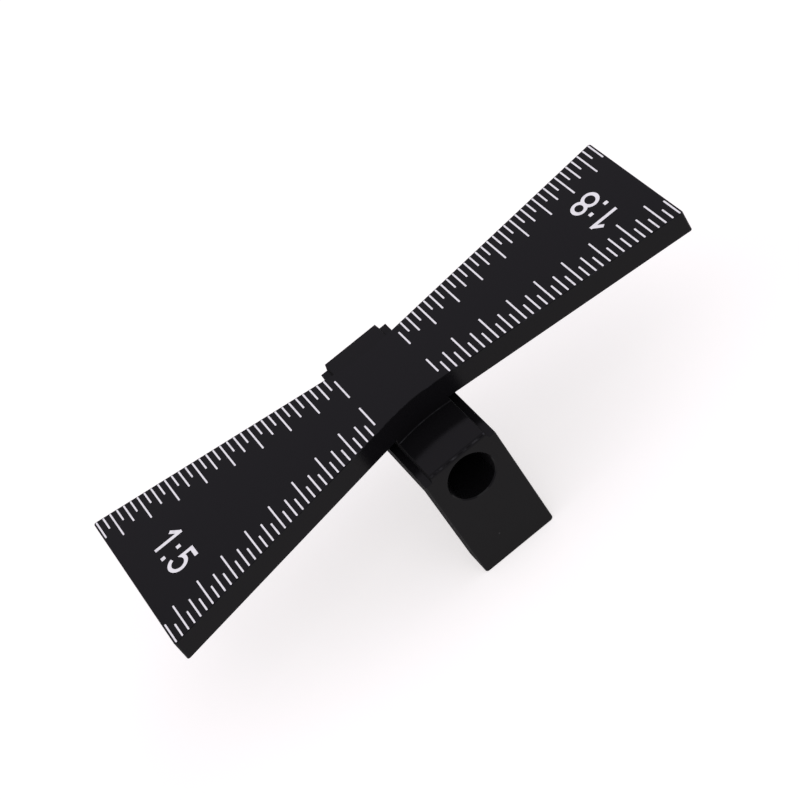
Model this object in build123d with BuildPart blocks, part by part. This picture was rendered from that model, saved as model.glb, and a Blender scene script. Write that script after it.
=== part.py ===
"""Dovetail marking gauge: a bow-tie rule blade screwed to an L-shaped fence.

Millimetres, +Z up. X runs along the blade with the 1:5 wing at -X, Y runs along the fence with its
leg at -Y, and Z = 0 is the foot of the leg. The origin is under the middle of the fence.
"""
import os

from build123d import *

os.makedirs("parts", exist_ok=True)

# Blade
blade_length = 125.0
blade_thickness = 5.0
waist_width = 19.3  # where the edges of the two wings would meet
waist_radius = 30.0  # blends the wings into each other
wide_wing_ratio = 5.0  # run for one of rise on each edge of the -X wing
slim_wing_ratio = 8.0  # the same on the +X wing
blade_corner_radius = 0.5
blade_edge_break = 0.1
blade_offset_y = 0.4  # the blade's middle line, from the middle of the fence

# Scales: sixteenths of an inch, counted outwards from the two sides of the fence
tick_pitch = 25.4 / 16
ticks_per_scale = 34
zero_offset = 5 * tick_pitch
tick_width = 0.36
short_tick = 4.0
middle_tick = 6.0
long_tick = 8.1
tick_edge_gap = 0.2
zero_tick_inset = 2.1
wide_zero_tick = 7.0
slim_zero_tick = 5.2
mark_depth = 0.15

# Ratio marks
digit_height = 6.5
digit_width = 4.5
digit_stroke = 0.85
flag_reach = 1.9
flag_drop = 1.7
colon_dot = 0.95
colon_rise = 4.2
wide_mark_x = 52.4  # distance of each mark from the middle of the blade
slim_mark_x = 51.9
wide_mark_shift = 0.4  # the colon's place along each mark
slim_mark_shift = -0.6
one_advance = 3.25  # from the colon back to the one
last_advance = 3.8  # from the colon on to the last digit
five_bar_left = 1.05  # the bar of the five, either side of its middle
five_bar_right = 1.6
five_bowl_start = 125  # degrees, where the bowl leaves the upright
five_bowl_sweep = 287
eight_ring_height = 3.9
eight_upper_ratio = 0.9  # the upper ring's size, to the lower ring's

# Fence
gauge_height = 34.5
fence_length = 47.2
fence_width = 16.8
bar_thickness = 12.5
leg_thickness = 12.0
land_width = 13.0  # the raised middle of the bar
land_gap = 1.0  # from the land up to the blade
shoulder_drop = 1.5
shoulder_draft = 0.35  # the land's walls lean out by this
side_height = 5.8  # flat reference face on each side of the bar
leg_side_depth = 6.2  # flat reference face on each side of the leg
nose_radius = 0.8
foot_radius = 0.7
fence_edge_break = 0.15

# Seat of the blade on the fence
seat_depth = 0.6
seat_clearance = 0.05
seat_root_radius = 0.25

# Blind bore in the front of the leg
bore_radius = 5.0
bore_depth = 13.0
bore_cover = 1.4  # metal between the bore and the land
bore_edge_break = 0.25

# Fixing screws, M3 socket caps from below
screw_spacing = 10.0
screw_radius = 1.5
screw_length = 10.0
screw_grip = 3.4  # length in the blade
screw_end_gap = 0.3
screw_hole_clearance = 0.2
thread_clearance = 0.03
head_radius = 2.75
head_height = 3.0
head_clearance = 0.3
socket_flats = 2.5
socket_depth = 1.6

blade_top = gauge_height
blade_bottom = blade_top - blade_thickness
land_top = blade_bottom - land_gap
shoulder_top = land_top - shoulder_drop
bar_bottom = land_top - bar_thickness
seat_top = blade_bottom + seat_depth
front_y = -fence_length / 2
bore_z = land_top - bore_cover - bore_radius
mark_floor = blade_top - mark_depth
screw_tip_z = seat_top + screw_grip
head_seat_z = screw_tip_z - screw_length
half_blade = blade_length / 2


def edge_y(x):
    """Half-width of the blade at a distance along it, before the waist is blended."""
    ratio = wide_wing_ratio if x < 0 else slim_wing_ratio
    return waist_width / 2 + abs(x) / ratio


def blade_outline():
    """Draws the bow-tie outline with sharp corners."""
    with BuildLine() as outline:
        Polyline(
            (-half_blade, edge_y(-half_blade)),
            (0, edge_y(0)),
            (half_blade, edge_y(half_blade)),
            (half_blade, -edge_y(half_blade)),
            (0, -edge_y(0)),
            (-half_blade, -edge_y(-half_blade)),
            close=True,
        )
    make_face(outline.edges())


def screw_places(height):
    """Returns the two screws' places at a height, with Z turned downwards."""
    ys = [blade_offset_y + side * screw_spacing / 2 for side in (-1, 1)]
    return [Location((0, y, height), (180, 0, 0)) for y in ys]


def scale_ticks(wing, edge):
    """Draws one scale: wing is -1 or 1 along X, edge is -1 or 1 along Y."""
    for count in range(ticks_per_scale + 1):
        x = wing * (zero_offset + count * tick_pitch)
        if count == 0:
            length = wide_zero_tick if wing < 0 else slim_zero_tick
            outer = edge_y(x) - zero_tick_inset
        else:
            length = short_tick if count % 2 else middle_tick if count % 4 else long_tick
            outer = edge_y(x) - tick_edge_gap
        with Locations((x, edge * (outer - length / 2))):
            SlotOverall(length, tick_width, rotation=90)


def draw_one(x, base):
    """A numeral one: an upright and a flag, traced by a pen."""
    top = base + digit_height - digit_stroke / 2
    with BuildLine() as pen:
        Line((x, base), (x, base + digit_height))
        Line((x, top), (x - flag_reach, top - flag_drop))
    trace(pen.line, line_width=digit_stroke)


def draw_colon(x, base):
    """Two square dots."""
    with Locations((x, base + colon_dot / 2), (x, base + colon_rise)):
        Rectangle(colon_dot, colon_dot)


def draw_five(x, base):
    """A numeral five: bar, upright and bowl, traced by a pen."""
    top = base + digit_height - digit_stroke / 2
    bowl_radius = (digit_width - digit_stroke) / 2
    bowl_centre = base + digit_stroke / 2 + bowl_radius
    with BuildLine() as pen:
        bowl = CenterArc((x, bowl_centre), bowl_radius, five_bowl_start, -five_bowl_sweep)
        Polyline((x + five_bar_right, top), (x - five_bar_left, top), bowl @ 0)
    trace(pen.line, line_width=digit_stroke)


def draw_eight(x, base):
    """A numeral eight: two oval rings, one on the other."""
    lower_width = digit_width / 2
    lower_height = eight_ring_height / 2
    upper_width = lower_width * eight_upper_ratio
    upper_height = lower_height * eight_upper_ratio
    rings = [
        (lower_width, lower_height, base + lower_height),
        (upper_width, upper_height, base + digit_height - upper_height),
    ]
    for half_width, half_height, centre in rings:
        with Locations((x, centre)):
            Ellipse(half_width, half_height)
    for half_width, half_height, centre in rings:
        with Locations((x, centre)):
            Ellipse(half_width - digit_stroke, half_height - digit_stroke, mode=Mode.SUBTRACT)


def ratio_mark(draw_last, colon_x):
    """Draws a mark that reads one to something, about a colon at a place along it."""
    base = -digit_height / 2
    draw_one(colon_x - one_advance, base)
    draw_colon(colon_x, base)
    draw_last(colon_x + last_advance, base)


scales = {
    "scale_wide_far": (-1, 1),
    "scale_wide_near": (-1, -1),
    "scale_slim_far": (1, 1),
    "scale_slim_near": (1, -1),
}
marks = {
    "mark_one_to_five": (draw_five, -1, wide_mark_x, wide_mark_shift),
    "mark_one_to_eight": (draw_eight, 1, slim_mark_x, slim_mark_shift),
}

# White paint that fills the engraved scales and marks, flush with the blade
paint = {}
for name, (wing, edge) in scales.items():
    with BuildPart() as fill:
        with BuildSketch(Plane((0, blade_offset_y, mark_floor))):
            scale_ticks(wing, edge)
        extrude(amount=mark_depth)
    paint[name] = fill
for name, (draw_last, wing, mark_x, colon_x) in marks.items():
    mark_origin = (wing * mark_x, blade_offset_y, mark_floor)
    with BuildPart() as fill:
        with BuildSketch(Plane(mark_origin, x_dir=(0, wing, 0), z_dir=(0, 0, 1))):
            ratio_mark(draw_last, colon_x)
        extrude(amount=mark_depth)
    paint[name] = fill

# Fence: a bar under the blade and a leg that hangs down at the front
with BuildPart() as fence:
    with BuildSketch(Plane.XZ.offset(front_y)) as bar_profile:
        with BuildLine():
            Polyline(
                (-land_width / 2, land_top),
                (-land_width / 2 - shoulder_draft, shoulder_top),
                (-fence_width / 2, shoulder_top),
                (-fence_width / 2, bar_bottom),
                (fence_width / 2, bar_bottom),
                (fence_width / 2, shoulder_top),
                (land_width / 2 + shoulder_draft, shoulder_top),
                (land_width / 2, land_top),
                close=True,
            )
        make_face()
        bar_round = shoulder_top - bar_bottom - side_height
        fillet(bar_profile.vertices().group_by(Axis.Y)[0], bar_round)
    extrude(amount=fence_length)
    with BuildSketch() as leg_profile:
        with Locations((0, front_y + leg_thickness / 2)):
            Rectangle(fence_width, leg_thickness)
        fillet(leg_profile.vertices().group_by(Axis.Y)[-1], leg_thickness - leg_side_depth)
    extrude(amount=shoulder_top)
    foot_edges = fence.edges().filter_by(Axis.Y).group_by(Axis.Z)[0]
    fillet(foot_edges, foot_radius)
    front_edges = fence.faces().sort_by(Axis.Y)[0].edges()
    below_nose = front_edges.filter_by(lambda edge: edge.center().Z < shoulder_top - nose_radius)
    chamfer(below_nose, fence_edge_break)
    far_edges = fence.faces().sort_by(Axis.Y)[-1].edges()
    chamfer(far_edges, fence_edge_break)
    nose_edge = fence.edges().filter_by(Axis.X).group_by(Axis.Y)[0].sort_by(Axis.Z)[-1]
    fillet(nose_edge, nose_radius)
    # Seat: the waist's own outline, flush with the blade's walls
    with BuildSketch(Plane((0, blade_offset_y, land_top))) as seat_outline:
        blade_outline()
        fillet(seat_outline.vertices().group_by(Axis.X)[1], waist_radius)
        Rectangle(land_width, blade_length, mode=Mode.INTERSECT)
    extrude(amount=seat_top - land_top)
    seat_root = fence.edges(Select.LAST).filter_by(GeomType.CIRCLE).group_by(Axis.Z)[0]
    fillet(seat_root, seat_root_radius)
    # Blind bore in the front
    with BuildSketch(Plane((0, front_y, bore_z), x_dir=(1, 0, 0), z_dir=(0, -1, 0))):
        Circle(bore_radius)
    extrude(amount=-bore_depth, mode=Mode.SUBTRACT)
    bore_mouth = fence.edges().filter_by(GeomType.CIRCLE).group_by(Axis.Y)[0].sort_by(SortBy.LENGTH)[-1]
    chamfer(bore_mouth, bore_edge_break)
    # Screw holes from below
    with Locations(*screw_places(bar_bottom)):
        CounterBoreHole(
            screw_radius + screw_hole_clearance,
            head_radius + head_clearance,
            head_seat_z - bar_bottom,
        )

# Blade: the bow-tie, with a groove for the seat, tapped holes and engraved scales
with BuildPart() as blade:
    with BuildSketch(Plane((0, blade_offset_y, blade_bottom))) as outline:
        blade_outline()
        fillet(outline.vertices().group_by(Axis.X)[1], waist_radius)
        columns = outline.vertices().group_by(Axis.X)
        fillet(columns[0] + columns[-1], blade_corner_radius)
    extrude(amount=blade_thickness)
    chamfer(blade.faces().filter_by(Axis.Z).edges(), blade_edge_break)
    with BuildSketch(Plane((0, blade_offset_y, blade_bottom))):
        Rectangle(land_width + 2 * seat_clearance, 2 * waist_width)
    extrude(amount=seat_depth, mode=Mode.SUBTRACT)
    with Locations(*screw_places(seat_top)):
        Hole(screw_radius + thread_clearance, screw_grip + screw_end_gap)
    for fill in paint.values():
        add(fill.part, mode=Mode.SUBTRACT)

# Two fixing screws, driven from below
with BuildPart() as fixing_screws:
    with Locations(*screw_places(head_seat_z)):
        Cylinder(head_radius, head_height, align=(Align.CENTER, Align.CENTER, Align.MIN))
    with Locations(*screw_places(head_seat_z)):
        Cylinder(screw_radius, screw_length, align=(Align.CENTER, Align.CENTER, Align.MAX))
    for place in screw_places(head_seat_z - head_height):
        with BuildSketch(Plane(place)):
            RegularPolygon(socket_flats / 2, 6, major_radius=False)
        extrude(amount=-socket_depth, mode=Mode.SUBTRACT)

pieces = {"blade": blade, "fence": fence, "fixing_screws": fixing_screws, **paint}
for name, piece in pieces.items():
    piece.part.label = name
    export_step(piece.part, f"parts/{name}.step")
    print(name, len(piece.part.solids()), "solids", round(piece.part.volume, 2), "mm3")
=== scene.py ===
# %% [markdown]
# # A dovetail marking gauge
#
# The object is a pocket tool for setting out dovetail joints: a bow-tie blade of black anodised
# aluminium with white engraved scales, screwed to an L-shaped fence. The machined shapes come from
# the CAD frame and stay as they are, because a milled plate is exactly what a CAD model describes.
# This lesson gives them their finishes, fills the engraving with paint, and makes the two cap screws
# that show from below.

import bpy
import numpy as np
from mathutils import Matrix, Vector


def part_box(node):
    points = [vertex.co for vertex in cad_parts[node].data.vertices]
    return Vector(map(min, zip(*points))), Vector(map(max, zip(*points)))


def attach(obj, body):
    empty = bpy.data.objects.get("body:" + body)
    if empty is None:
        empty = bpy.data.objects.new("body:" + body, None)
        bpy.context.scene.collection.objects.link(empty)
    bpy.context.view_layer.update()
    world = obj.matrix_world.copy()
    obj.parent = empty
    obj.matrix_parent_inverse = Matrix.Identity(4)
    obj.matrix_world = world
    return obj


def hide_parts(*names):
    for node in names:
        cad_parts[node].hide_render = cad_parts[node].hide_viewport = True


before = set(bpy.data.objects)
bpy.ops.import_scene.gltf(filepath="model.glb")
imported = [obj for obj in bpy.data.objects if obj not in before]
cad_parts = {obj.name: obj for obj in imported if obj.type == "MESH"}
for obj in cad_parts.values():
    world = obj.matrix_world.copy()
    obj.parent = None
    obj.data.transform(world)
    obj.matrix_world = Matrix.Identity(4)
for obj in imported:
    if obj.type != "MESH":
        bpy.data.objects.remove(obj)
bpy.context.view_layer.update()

MM = 0.001

# %% [markdown]
# ## Camera
#
# A tool this small looks best through a long lens from about four tenths of a metre, because the
# blade then stays nearly a true bow-tie. The camera looks along the fence from the leg's end, down
# at about 39 degrees, and it is rolled so that the blade climbs from lower left to upper right. Its
# place is measured from the middle of the blade's face, which the frame gives, and a matrix of
# three directions turns it: right, up, and backwards.

# %% Camera
blade_low, blade_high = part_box("blade")
face_middle = Vector((
    (blade_low.x + blade_high.x) / 2,
    (blade_low.y + blade_high.y) / 2,
    blade_high.z,
))
camera_offset = Vector((-32.31, -331.37, 266.48)) * MM
view_direction = Vector((0.07406, 0.76959, -0.63423))
up_direction = Vector((0.62665, 0.45882, 0.62992))
right_direction = view_direction.cross(up_direction)

camera_data = bpy.data.cameras.new("camera")
camera_data.lens = 99.4
camera_data.sensor_width = 36
camera_data.clip_start = 0.01
camera_data.clip_end = 20
camera = bpy.data.objects.new("camera", camera_data)
bpy.context.collection.objects.link(camera)
turn = Matrix((right_direction, up_direction, -view_direction)).transposed()
camera.matrix_world = Matrix.Translation(face_middle + camera_offset) @ turn.to_4x4()
bpy.context.scene.camera = camera
print("camera at", [round(v, 4) for v in camera.matrix_world.translation])

# %% [markdown]
# ## Materials start from one helper
#
# Every finish here is a Principled shader with a few nodes in front of it. The two helpers below
# make the material and add a node with its inputs filled in, so that each finish reads as a list of
# what it is made of.

# %% Material helpers
def new_finish(name, colour, roughness, specular_level):
    """A material with a Principled shader: its node tree and shader are returned with it."""
    material = bpy.data.materials.new(name)
    material.use_nodes = True
    shader = material.node_tree.nodes["Principled BSDF"]
    shader.inputs["Base Color"].default_value = (*colour, 1)
    shader.inputs["Roughness"].default_value = roughness
    shader.inputs["Specular IOR Level"].default_value = specular_level
    return material, material.node_tree, shader


def add_node(tree, kind, column, row, settings=None, **inputs):
    """A node at a column and row of the editor, with its settings and its inputs' values."""
    node = tree.nodes.new(kind)
    node.location = (column * 220, row * -220)
    for key, value in (settings or {}).items():
        setattr(node, key, value)
    for key, value in inputs.items():
        node.inputs[key.replace("_", " ")].default_value = value
    return node


# %% [markdown]
# ## Stage and light
#
# Black satin metal shows almost nothing of its own: what the eye reads is what it mirrors. So the
# light is an even, slightly cool sky over a pale floor that glows a little, as in a light tent. The
# blade's face mirrors the sky and its walls mirror the floor. Three large panels are kept out of the
# face's mirror direction, and they lift the white paint without touching the black.

# %% Stage
floor_size = 6.0
square = np.array([(-1, -1, 0), (1, -1, 0), (1, 1, 0), (-1, 1, 0)]) * floor_size / 2
floor_mesh = bpy.data.meshes.new("floor")
floor_mesh.from_pydata(square.tolist(), [], [(0, 1, 2, 3)])
floor = bpy.data.objects.new("floor", floor_mesh)
bpy.context.collection.objects.link(floor)
floor_paper, _, floor_shader = new_finish("white_paper", (0.55, 0.54, 0.53), 0.9, 0)
floor_shader.inputs["Emission Color"].default_value = (1, 0.98, 0.96, 1)
floor_shader.inputs["Emission Strength"].default_value = 0.6
floor_mesh.materials.append(floor_paper)

# %% Sky and panels
sky = bpy.data.worlds.new("sky")
sky.use_nodes = True
sky_shader = sky.node_tree.nodes["Background"]
sky_shader.inputs["Color"].default_value = (0.93, 0.88, 1, 1)
sky_shader.inputs["Strength"].default_value = 0.72
bpy.context.scene.world = sky
bpy.context.scene.view_settings.view_transform = "Standard"


def soft_panel(name, place, size, power):
    """A square area light at a place in metres, turned to the middle of the blade."""
    light = bpy.data.lights.new(name, "AREA")
    light.size = size
    light.energy = power
    panel = bpy.data.objects.new(name, light)
    panel.location = place
    panel.rotation_euler = (face_middle - panel.location).to_track_quat("-Z", "Y").to_euler()
    bpy.context.collection.objects.link(panel)


panel_size = 1.2
soft_panel("panel_front", Vector((0.1, -1.0, 1.2)), panel_size, power=5)
soft_panel("panel_left", Vector((-1.4, 0.2, 1.2)), panel_size, power=3)
soft_panel("panel_right", Vector((1.3, 0.3, 1.4)), panel_size, power=3)
print("three panels and a sky of", round(sky_shader.inputs["Strength"].default_value, 2))

# %% [markdown]
# ## Black anodising
#
# Anodising is a thin glassy layer grown on the metal and dyed black. It hardly scatters light, so
# the base colour is almost nothing and a weak reflection makes the picture. Four things keep it from
# looking like plain black plastic:
#
# - smears: a slow noise moves the roughness between two values, as handling does;
# - grain: a fast noise of about a tenth of a millimetre is the blasted metal under the layer;
# - ends: faces that look along the blade are sawn and only linished, so they are much rougher;
# - bevels: the small bevels that look up at 45 degrees are scuffed dull, and they carry a painted
#   highlight, a lighter colour in dashes that stands in for the light they catch, only near the
#   blade.
#
# The last two are found from the surface's own direction, which works on any shape without a map.
# The fence also has two light specks: a painted glint at the land's front corner, and a nick on the
# leg where a knock has bared a speck of metal.

# %% Anodised metal
def band(tree, value, low, high, column, row):
    """One inside a band of values and zero outside, with soft edges: a product of two ramps."""
    edge = (high - low) / 4
    rise = add_node(tree, "ShaderNodeMapRange", column, row, From_Min=low, From_Max=low + edge)
    fall = add_node(tree, "ShaderNodeMapRange", column, row + 1, From_Min=high, From_Max=high - edge)
    both = add_node(tree, "ShaderNodeMath", column + 1, row, {"operation": "MULTIPLY"})
    tree.links.new(value, rise.inputs["Value"])
    tree.links.new(value, fall.inputs["Value"])
    tree.links.new(rise.outputs["Result"], both.inputs[0])
    tree.links.new(fall.outputs["Result"], both.inputs[1])
    return both.outputs["Value"]


def surface_direction(tree):
    """The surface's own normal, split into X, Y and Z."""
    geometry = add_node(tree, "ShaderNodeNewGeometry", -9, 4)
    split = add_node(tree, "ShaderNodeSeparateXYZ", -8, 4)
    tree.links.new(geometry.outputs["Normal"], split.inputs["Vector"])
    return split.outputs


def absolute(tree, value, column, row):
    """The size of a value without its sign."""
    size = add_node(tree, "ShaderNodeMath", column, row, {"operation": "ABSOLUTE"})
    tree.links.new(value, size.inputs[0])
    return size.outputs["Value"]


def combine(tree, operation, first, second, column, row):
    """Two masks made into one by a Math node's operation."""
    both = add_node(tree, "ShaderNodeMath", column, row, {"operation": operation})
    tree.links.new(first, both.inputs[0])
    tree.links.new(second, both.inputs[1])
    return both.outputs["Value"]


film_specular = 0.105
dull_roughness = 1.0


def anodised(name, colour, highlight_and_nick_colour, gloss, grain, highlight_dash_scale, highlight_above, glints_and_nicks=()):
    """Dyed anodising: smeared gloss, blasted grain, dull ends, a painted highlight in dashes on
    bevels above a height, and light specks at given spots (painted glints and nicks).
    """
    material, tree, shader = new_finish(name, colour, gloss[0], film_specular)
    link = tree.links.new
    place = add_node(tree, "ShaderNodeTexCoord", -8, 0)
    smear = add_node(tree, "ShaderNodeTexNoise", -6, 0, Scale=70, Detail=5, Roughness=0.6)
    link(place.outputs["Object"], smear.inputs["Vector"])
    shine = add_node(tree, "ShaderNodeMapRange", -5, 0, From_Min=0.3, From_Max=0.7,
                     To_Min=gloss[0], To_Max=gloss[1])
    link(smear.outputs["Fac"], shine.inputs["Value"])

    direction = surface_direction(tree)
    looks_up = band(tree, direction["Z"], 0.55, 0.9, -6, 4)
    looks_out = band(tree, absolute(tree, direction["Y"], -7, 6), 0.4, 0.9, -6, 6)
    height = add_node(tree, "ShaderNodeSeparateXYZ", -7, 7)
    link(place.outputs["Object"], height.inputs["Vector"])
    is_high = add_node(tree, "ShaderNodeMapRange", -6, 7, From_Min=highlight_above,
                       From_Max=highlight_above + 0.2 * MM)
    link(height.outputs["Z"], is_high.inputs["Value"])
    is_bevel = combine(tree, "MULTIPLY", looks_up, looks_out, -4, 5)
    is_bevel = combine(tree, "MULTIPLY", is_bevel, is_high.outputs["Result"], -4, 7)

    is_end = add_node(tree, "ShaderNodeMapRange", -5, 2, From_Min=0.8, From_Max=0.95)
    link(absolute(tree, direction["X"], -6, 2), is_end.inputs["Value"])
    is_rough = combine(tree, "MAXIMUM", is_end.outputs["Result"], is_bevel, -4, 2)
    rough = add_node(tree, "ShaderNodeMix", -3, 0, B=dull_roughness)
    link(is_rough, rough.inputs["Factor"])
    link(shine.outputs["Result"], rough.inputs["A"])
    link(rough.outputs["Result"], shader.inputs["Roughness"])

    # Painted highlight: a lighter colour in dashes on the bevels that look up at 45 degrees, near
    # the blade, standing in for the light those bevels catch.
    dashes = add_node(tree, "ShaderNodeTexNoise", -6, 8, Scale=highlight_dash_scale, Detail=2)
    link(place.outputs["Object"], dashes.inputs["Vector"])
    dashed = add_node(tree, "ShaderNodeMapRange", -5, 8, From_Min=0.46, From_Max=0.66)
    link(dashes.outputs["Fac"], dashed.inputs["Value"])
    highlight_and_nicks = combine(tree, "MULTIPLY", is_bevel, dashed.outputs["Result"], -3, 6)
    # Light specks at given spots: painted glints, and nicks of bared metal.
    for row, (speck_place, speck_radius) in enumerate(glints_and_nicks, 10):
        away = add_node(tree, "ShaderNodeVectorMath", -5, row, {"operation": "DISTANCE"})
        away.inputs[1].default_value = speck_place
        link(place.outputs["Object"], away.inputs[0])
        light_speck = add_node(tree, "ShaderNodeMapRange", -4, row, From_Min=speck_radius,
                         From_Max=speck_radius / 2)
        link(away.outputs["Value"], light_speck.inputs["Value"])
        highlight_and_nicks = combine(tree, "MAXIMUM", highlight_and_nicks, light_speck.outputs["Result"], -3, row)
    dye_and_highlight = add_node(tree, "ShaderNodeMix", -2, 4, {"data_type": "RGBA"})
    dye_and_highlight.inputs["A"].default_value = (*colour, 1)
    dye_and_highlight.inputs["B"].default_value = (*highlight_and_nick_colour, 1)
    link(highlight_and_nicks, dye_and_highlight.inputs["Factor"])
    link(dye_and_highlight.outputs["Result"], shader.inputs["Base Color"])

    blast = add_node(tree, "ShaderNodeTexNoise", -4, 9, Scale=9000, Detail=3)
    link(place.outputs["Object"], blast.inputs["Vector"])
    bump = add_node(tree, "ShaderNodeBump", -2, 9, Strength=grain, Distance=0.02 * MM)
    link(blast.outputs["Fac"], bump.inputs["Height"])
    link(bump.outputs["Normal"], shader.inputs["Normal"])
    print(name, "has", len(tree.nodes), "nodes")
    return material


def dress(node, finish):
    """Gives every material slot of a CAD node one finish."""
    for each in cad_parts[node].material_slots:
        each.material = finish
    print(node, "wears", finish.name)


# %% Dress the blade and the fence
fence_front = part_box("fence")[0].y
# The land's front corner gets a painted glint, a light speck standing in for the light it catches;
# the leg's front gets a nick of bared metal.
land_corner_glint = Vector((6.45 * MM, fence_front + 0.35 * MM, blade_low.z - 1.15 * MM))
leg_speck = Vector((-2.0 * MM, fence_front, 6.2 * MM))
# On both finishes the lighter colour in dashes on the up-facing bevels is a painted highlight.
blade_finish = anodised(
    "blade_anodising",
    colour=(0.0046, 0.0044, 0.0050),
    highlight_and_nick_colour=(0.020, 0.020, 0.023),
    gloss=(0.11, 0.18),
    grain=0.3,
    highlight_dash_scale=450,
    highlight_above=blade_low.z,
)
fence_finish = anodised(
    "fence_anodising",
    colour=(0.0046, 0.0044, 0.0048),
    highlight_and_nick_colour=(0.028, 0.028, 0.030),
    gloss=(0.09, 0.15),
    grain=0.2,
    highlight_dash_scale=600,
    highlight_above=blade_low.z - 2.5 * MM,
    glints_and_nicks=[(land_corner_glint, 0.3 * MM), (leg_speck, 0.22 * MM)],
)
dress("blade", blade_finish)
dress("fence", fence_finish)

# %% [markdown]
# ## White paint
#
# The scales and the ratio marks are engraved 0.15 mm deep and wiped full of white enamel. The CAD
# has that paint as thin solids flush with the blade, so their shape is already right. The finish is
# matt and chalky: the white is a little thinner in places, and its skin is not quite flat.

# %% White paint
def enamel(name, thick_white, thin_white):
    """Wiped enamel: two whites mixed by a noise, with an uneven matt skin."""
    material, tree, shader = new_finish(name, thick_white, roughness=0.55, specular_level=0.3)
    link = tree.links.new
    place = add_node(tree, "ShaderNodeTexCoord", -6, 0)
    cover = add_node(tree, "ShaderNodeTexNoise", -5, 0, Scale=800, Detail=4)
    thin = add_node(tree, "ShaderNodeMapRange", -4, 0, From_Min=0.55, From_Max=0.75)
    white = add_node(tree, "ShaderNodeMix", -2, 0, {"data_type": "RGBA"})
    white.inputs["A"].default_value = (*thick_white, 1)
    white.inputs["B"].default_value = (*thin_white, 1)
    skin = add_node(tree, "ShaderNodeTexNoise", -5, 2, Scale=3000, Detail=2)
    bump = add_node(tree, "ShaderNodeBump", -2, 2, Strength=0.3, Distance=0.03 * MM)
    link(place.outputs["Object"], cover.inputs["Vector"])
    link(place.outputs["Object"], skin.inputs["Vector"])
    link(cover.outputs["Fac"], thin.inputs["Value"])
    link(thin.outputs["Result"], white.inputs["Factor"])
    link(white.outputs["Result"], shader.inputs["Base Color"])
    link(skin.outputs["Fac"], bump.inputs["Height"])
    link(bump.outputs["Normal"], shader.inputs["Normal"])
    return material


white_enamel = enamel("white_enamel", (0.87, 0.87, 0.86), (0.70, 0.70, 0.70))
for node in sorted(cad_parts):
    if node.startswith(("scale_", "mark_")):
        dress(node, white_enamel)

# %% [markdown]
# ## Cap screws
#
# Two M3 socket cap screws hold the fence up to the blade. They sit head down in counterbores under
# the bar, so only their heads show, and only from below. A screw could be a cylinder with a hole cut
# in it, but it is simpler to see it as one skin: a profile that starts in the middle of the socket,
# comes out along its wall, goes round the head and along the shank, and ends at the tip. Each point
# of the profile says how much of three patterns it has: the hexagon of the socket, the knurl of the
# head, and the thread of the shank. Turning the profile round the axis then gives the whole screw
# in one array. The volume it encloses comes out positive only if its faces look outwards, which is
# a quick test of a mesh made in code.

# %% Profile of a screw
screws_low, screws_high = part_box("fixing_screws")
head_radius = screws_high.x
head_height = 3.0 * MM
shank_radius = 1.5 * MM
screw_spacing = screws_high.y - screws_low.y - 2 * head_radius
screw_middle_y = (screws_high.y + screws_low.y) / 2
head_face_z = screws_low.z
seat_z = head_face_z + head_height
tip_z = screws_high.z
socket_half = 1.25 * MM  # from the axis to a flat of the hexagon
socket_floor_z = head_face_z + 1.6 * MM
drill_radius = 0.6 * socket_half  # of the cone in the middle of the socket's floor
bevel = 0.25 * MM
thread_pitch = 0.5 * MM
thread_depth = 0.3 * MM
rows_per_turn = 8

ROUND, HEXAGON, KNURL, THREAD = (0, 0, 0), (1, 0, 0), (0, 1, 0), (0, 0, 1)
thread_rows = int(rows_per_turn * (tip_z - seat_z - 3 * bevel) / thread_pitch)
thread_heights = np.linspace(seat_z + bevel, tip_z - 2 * bevel, thread_rows)
profile = [
    (drill_radius, socket_floor_z + bevel / 2, ROUND),
    (socket_half, socket_floor_z, HEXAGON),
    (socket_half, head_face_z + bevel / 2, HEXAGON),
    (socket_half + bevel, head_face_z, ROUND),
    (head_radius - 1.4 * bevel, head_face_z, ROUND),
    (head_radius - bevel / 2, head_face_z + bevel / 2, ROUND),
    (head_radius, head_face_z + 1.5 * bevel, KNURL),
    (head_radius, seat_z - bevel, KNURL),
    (head_radius - bevel / 2, seat_z - bevel / 4, ROUND),
    (head_radius - bevel, seat_z, ROUND),
    (shank_radius, seat_z, ROUND),
    *[(shank_radius, z, THREAD) for z in thread_heights],
    (shank_radius - thread_depth, tip_z - bevel / 4, ROUND),
    (shank_radius - 2 * thread_depth, tip_z, ROUND),
]
print("a screw's profile has", len(profile), "points")


# %% Skin of a screw
def turned_skin(profile, columns, knurls, knurl_depth):
    """A profile turned round Z, as an array of rings of points.

    At an angle a, a ring of radius r is at r * (1 + h * (1 / cos(d) - 1)) - k * knurl - t * thread,
    where h, k and t are how much hexagon, knurl and thread the ring has. d is the angle from the
    middle of the nearest flat, knurl goes up and down with the angle, and thread is a saw of the
    height less the share of a turn, which makes it a helix.
    """
    radius = np.array([point[0] for point in profile])[:, None]
    height = np.array([point[1] for point in profile])[:, None]
    hexagon, knurl, thread = np.array([point[2] for point in profile], float).T[:, :, None]
    angle = np.linspace(0, 2 * np.pi, columns, endpoint=False)[None, :]
    from_flat = (angle + np.pi / 6) % (np.pi / 3) - np.pi / 6
    groove = 0.5 - 0.5 * np.cos(knurls * angle)
    phase = (height / thread_pitch - angle / (2 * np.pi)) % 1
    flank = np.abs(2 * phase - 1)
    ring = radius * (1 + hexagon * (1 / np.cos(from_flat) - 1))
    ring = ring - knurl * knurl_depth * groove - thread * thread_depth * flank
    x = ring * np.cos(angle)
    y = ring * np.sin(angle)
    return np.stack([x, y, np.broadcast_to(height, ring.shape)], axis=-1)


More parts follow.
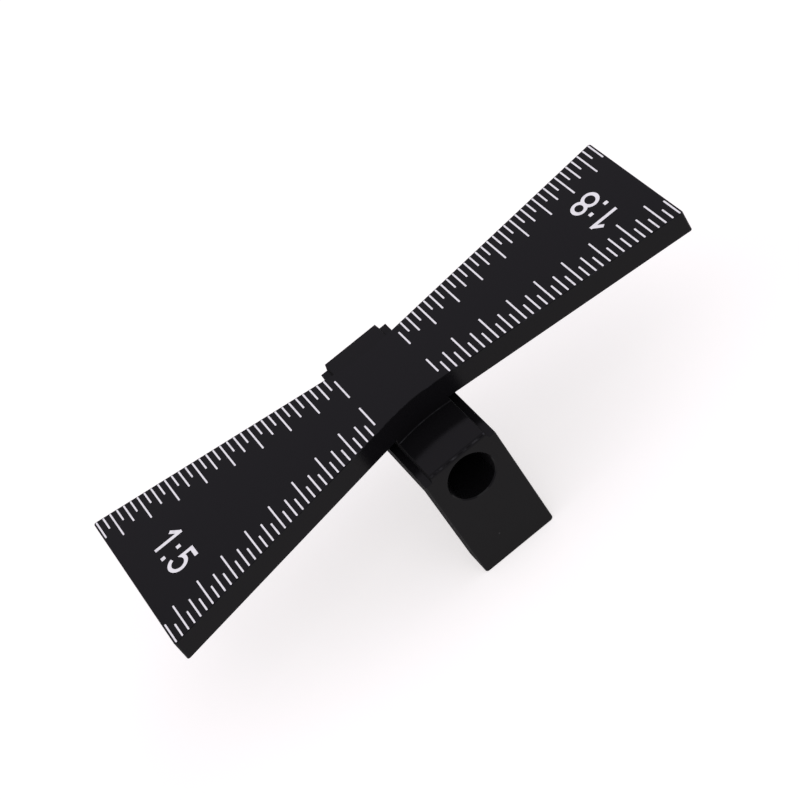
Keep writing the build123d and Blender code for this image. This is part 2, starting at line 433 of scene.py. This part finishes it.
def closed_skin(rings, start_point, end_point):
    """Rings joined into a closed mesh: quads between neighbours, and a fan to a pole at each end.

    Point k of ring i has the number i * columns + k, and the two poles come after all the rings.
    """
    count, columns = rings.shape[:2]
    first = np.arange(count * columns).reshape(count, columns)
    beside = np.roll(first, -1, axis=1)
    quads = np.stack([first[:-1], beside[:-1], beside[1:], first[1:]], axis=-1).reshape(-1, 4)
    start, end = count * columns, count * columns + 1
    fan_in = np.stack([np.full(columns, start), beside[0], first[0]], axis=-1)
    fan_out = np.stack([np.full(columns, end), first[-1], beside[-1]], axis=-1)
    points = np.concatenate([rings.reshape(-1, 3), [start_point, end_point]])
    return points, quads, np.concatenate([fan_in, fan_out])


def enclosed_volume(points, quads, fans):
    """The sum of the tetrahedra from the origin to each face: positive if faces look outwards."""
    triangles = np.concatenate([quads[:, [0, 1, 2]], quads[:, [0, 2, 3]], fans])
    a, b, c = np.moveaxis(points[triangles], 1, 0)
    return np.sum(a * np.cross(b, c)) / 6


skin = turned_skin(profile, columns=120, knurls=30, knurl_depth=0.12 * MM)
screw_points, screw_quads, screw_fans = closed_skin(
    skin, (0, 0, socket_floor_z + bevel), (0, 0, tip_z)
)
screw_volume = enclosed_volume(screw_points, screw_quads, screw_fans) / MM**3
print("one screw encloses", round(float(screw_volume), 1), "mm3")

# %% [markdown]
# ## Black oxide
#
# The screws are plain steel with a black oxide: a real metal with a dark, slightly warm colour, and
# oil left in patches, which changes the gloss. It is duller and browner than the anodising around.

# %% Black oxide
def black_oxide(name, colour, oiled_colour):
    """Oiled black oxide: a dark metal whose gloss follows the patches of oil."""
    material, tree, shader = new_finish(name, colour, roughness=0.4, specular_level=0.5)
    shader.inputs["Metallic"].default_value = 1
    link = tree.links.new
    place = add_node(tree, "ShaderNodeTexCoord", -6, 0)
    oil = add_node(tree, "ShaderNodeTexNoise", -5, 0, Scale=500, Detail=4)
    gloss = add_node(tree, "ShaderNodeMapRange", -4, 0, From_Min=0.35, From_Max=0.65,
                     To_Min=0.28, To_Max=0.5)
    tint = add_node(tree, "ShaderNodeMix", -2, 0, {"data_type": "RGBA"})
    tint.inputs["A"].default_value = (*colour, 1)
    tint.inputs["B"].default_value = (*oiled_colour, 1)
    link(place.outputs["Object"], oil.inputs["Vector"])
    link(oil.outputs["Fac"], gloss.inputs["Value"])
    link(gloss.outputs["Result"], shader.inputs["Roughness"])
    link(oil.outputs["Fac"], tint.inputs["Factor"])
    link(tint.outputs["Result"], shader.inputs["Base Color"])
    return material


screw_oxide = black_oxide("screw_black_oxide", (0.05, 0.048, 0.046), (0.085, 0.0768, 0.069))

# %% [markdown]
# ## Place the screws
#
# Both screws are the same array, moved along Y to the two counterbores. They stand for the plain
# shafts of the CAD, which stay in the physics model but no longer show. Smooth shading with edges
# kept sharp above 20 degrees leaves the head's rim crisp and its knurl and thread soft.

# %% Place the screws
def place_screw(name, middle_y):
    """One screw's mesh, moved along Y to its hole, with its finish."""
    mesh = bpy.data.meshes.new(name)
    faces = screw_quads.tolist() + screw_fans.tolist()
    mesh.from_pydata((screw_points + (0, middle_y, 0)).tolist(), [], faces)
    mesh.polygons.foreach_set("use_smooth", np.ones(len(faces), bool))
    mesh.set_sharp_from_angle(angle=np.radians(20))
    mesh.materials.append(screw_oxide)
    piece = bpy.data.objects.new(name, mesh)
    bpy.context.collection.objects.link(piece)
    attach(piece, "root")
    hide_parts("fixing_screws")
    print(name, "has", len(mesh.vertices), "points")


for name, side in (("fixing_screw_front", -1), ("fixing_screw_back", 1)):
    place_screw(name, screw_middle_y + side * screw_spacing / 2)
